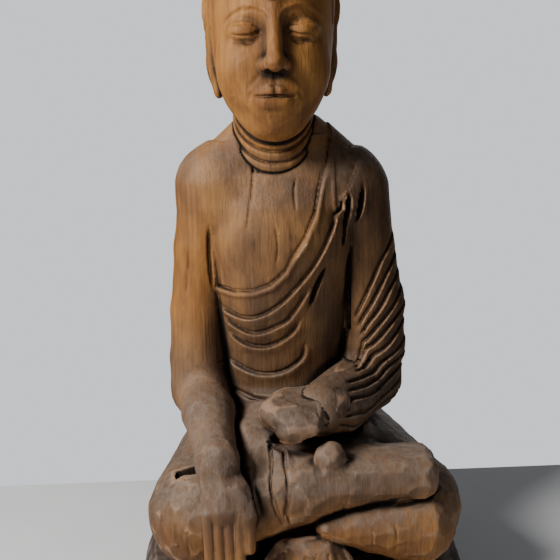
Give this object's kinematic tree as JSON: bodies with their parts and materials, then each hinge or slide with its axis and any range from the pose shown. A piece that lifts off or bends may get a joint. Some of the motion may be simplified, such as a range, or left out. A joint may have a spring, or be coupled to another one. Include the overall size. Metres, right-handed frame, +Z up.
{
  "type": "seated buddha statue",
  "caption": "Carved wooden seated Buddha in the earth-touching pose, built from pegged and stapled blocks on a low plinth.",
  "frame": {"origin": "centre of the plinth's underside", "axes": "+Z up through the figure, the figure faces -Y, +X is the figure's left and the viewer's right"},
  "size_m": [0.196, 0.16, 0.4],
  "materials": {
    "head_wood": "smooth knife-finished warm brown wood with a worn satin polish",
    "body_wood": "gouge-marked aged brown wood, greyed by dust on upward faces",
    "plinth_wood": "dark stained, roughly tooled wood",
    "peg_wood": "split hardwood peg, raw end grain",
    "iron": "forged, dull, lightly rusted"
  },
  "bodies": {
    "root": {"board_peg_back_left": "peg_wood", "board_peg_back_right": "peg_wood", "board_peg_front_left": "peg_wood", "board_peg_front_right": "peg_wood", "bottom_board": "peg_wood", "head": "head_wood", "lap_block": "body_wood", "lap_dowel_left": "peg_wood", "lap_dowel_right": "peg_wood", "left_elbow_dowel": "peg_wood", "left_forearm": "body_wood", "left_hand": "body_wood", "left_hip_block": "body_wood", "left_hip_dowel": "peg_wood", "left_shoulder_dowel_back": "peg_wood", "left_shoulder_dowel_front": "peg_wood", "left_thigh_dowel": "peg_wood", "left_upper_arm": "body_wood", "neck_peg": "peg_wood", "plinth": "plinth_wood", "plinth_dowel_left": "peg_wood", "plinth_dowel_right": "peg_wood", "right_elbow_dowel": "peg_wood", "right_forearm": "body_wood", "right_hand": "body_wood", "right_hip_block": "body_wood", "right_hip_dowel": "peg_wood", "right_shoulder_dowel_back": "peg_wood", "right_shoulder_dowel_front": "peg_wood", "right_thigh_dowel": "peg_wood", "right_upper_arm": "body_wood", "seat_staple_front_left": "iron", "seat_staple_front_right": "iron", "seat_staple_hip_left": "iron", "seat_staple_hip_right": "iron", "torso_back": "body_wood", "torso_dowel_lower_left": "peg_wood", "torso_dowel_lower_right": "peg_wood", "torso_dowel_upper_left": "peg_wood", "torso_dowel_upper_right": "peg_wood", "torso_front": "body_wood"}
  },
  "joints": []
}
